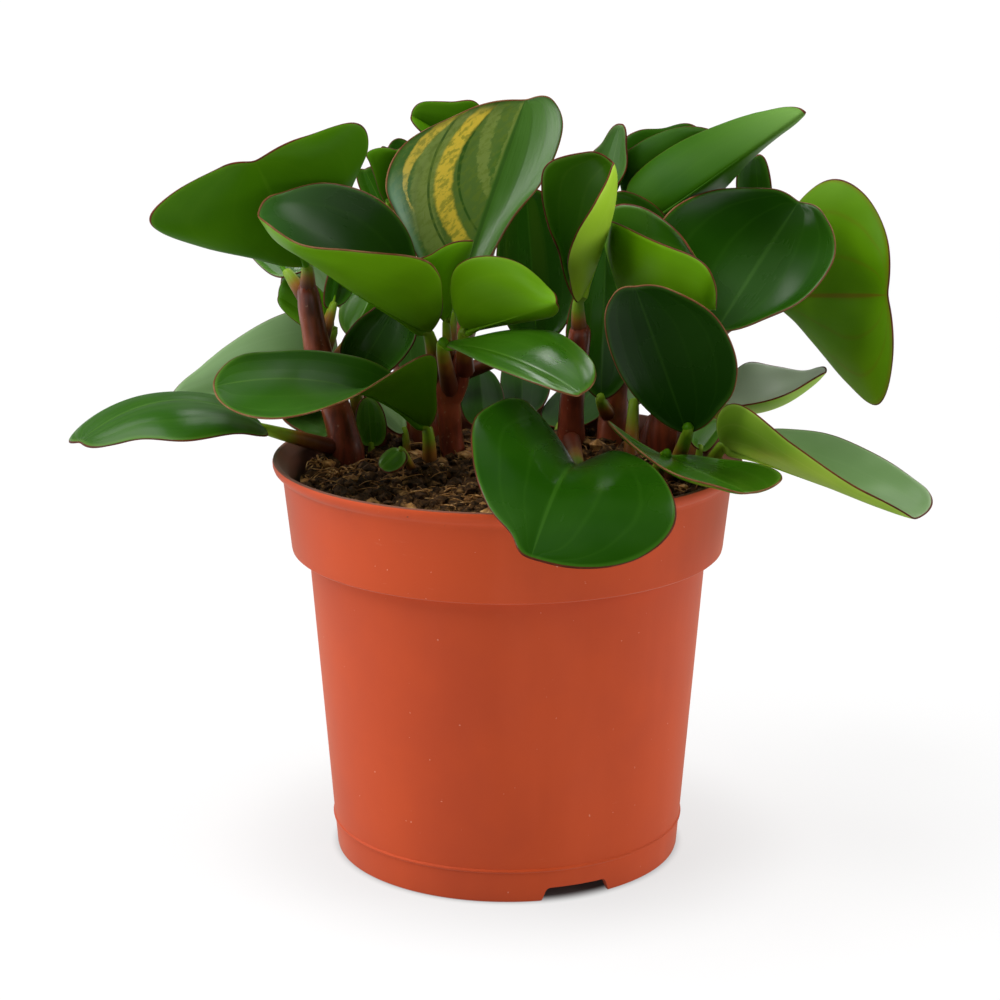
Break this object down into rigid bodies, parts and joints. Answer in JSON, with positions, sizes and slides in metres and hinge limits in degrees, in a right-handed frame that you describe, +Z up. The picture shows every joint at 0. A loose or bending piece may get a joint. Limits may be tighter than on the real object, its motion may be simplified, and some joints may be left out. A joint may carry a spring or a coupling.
{
  "type": "potted peperomia",
  "caption": "Potted peperomia with thick glossy oval leaves on short red-brown stems, growing in a flared plastic nursery pot filled with soil.",
  "frame": {"origin": "middle of the pot's foot, on the surface that the pot stands on", "axes": "+Z up, along the pot's axis; -Y the front, where a heart-shaped leaf hangs over the lip; +X to the right seen from the front"},
  "size_m": [0.2248, 0.1572, 0.1924],
  "materials": {
    "pot_plastic": "satin terracotta-coloured plastic",
    "peat": "matt, moist peat with fibres",
    "stem": "smooth and slightly glossy, red-brown",
    "leaf": "glossy dark green above, paler yellow-green below, with a thin red-brown rim"
  },
  "bodies": {
    "root": {"pot": "pot_plastic", "soil": "peat", "stem_left": "stem", "stem_middle": "stem", "stem_centre": "stem", "stem_right": "stem", "stem_back_left": "stem", "stem_back_middle": "stem", "stem_back_right": "stem", "leaf_left_high": "leaf", "leaf_left_high_back": "leaf", "leaf_spoon": "leaf", "leaf_striped": "leaf", "leaf_young": "leaf", "leaf_round": "leaf", "leaf_shiny": "leaf", "leaf_left_low": "leaf", "leaf_left_drooping": "leaf", "leaf_left_pale": "leaf", "leaf_left_bud": "leaf", "leaf_left_grey": "leaf", "leaf_left_inner": "leaf", "leaf_left_bright": "leaf", "leaf_left_dark": "leaf", "leaf_middle_pale": "leaf", "leaf_top_back": "leaf", "leaf_top_small": "leaf", "leaf_top_dark": "leaf", "leaf_top_hidden": "leaf", "leaf_centre_dark": "leaf", "leaf_upright": "leaf", "leaf_streaked": "leaf", "leaf_top_right_back": "leaf", "leaf_top_right": "leaf", "leaf_top_long": "leaf", "leaf_right_hidden": "leaf", "leaf_right_broad": "leaf", "leaf_right_hanging": "leaf", "leaf_right_cupped": "leaf", "leaf_right_inner": "leaf", "leaf_front_dark": "leaf", "leaf_front_heart": "leaf", "leaf_front_folded": "leaf", "leaf_right_low": "leaf", "leaf_right_pale": "leaf", "leaf_front_small": "leaf", "seedling": "leaf", "leaf_centre_narrow": "leaf", "leaf_left_lower_back": "leaf", "leaf_middle_narrow": "leaf", "leaf_middle_grey": "leaf", "leaf_back_1": "leaf", "leaf_back_2": "leaf", "leaf_back_3": "leaf", "leaf_back_4": "leaf", "leaf_back_5": "leaf", "leaf_inner_left": "leaf", "leaf_inner_middle": "leaf", "leaf_inner_right": "leaf", "leaf_right_behind": "leaf"}
  },
  "joints": []
}
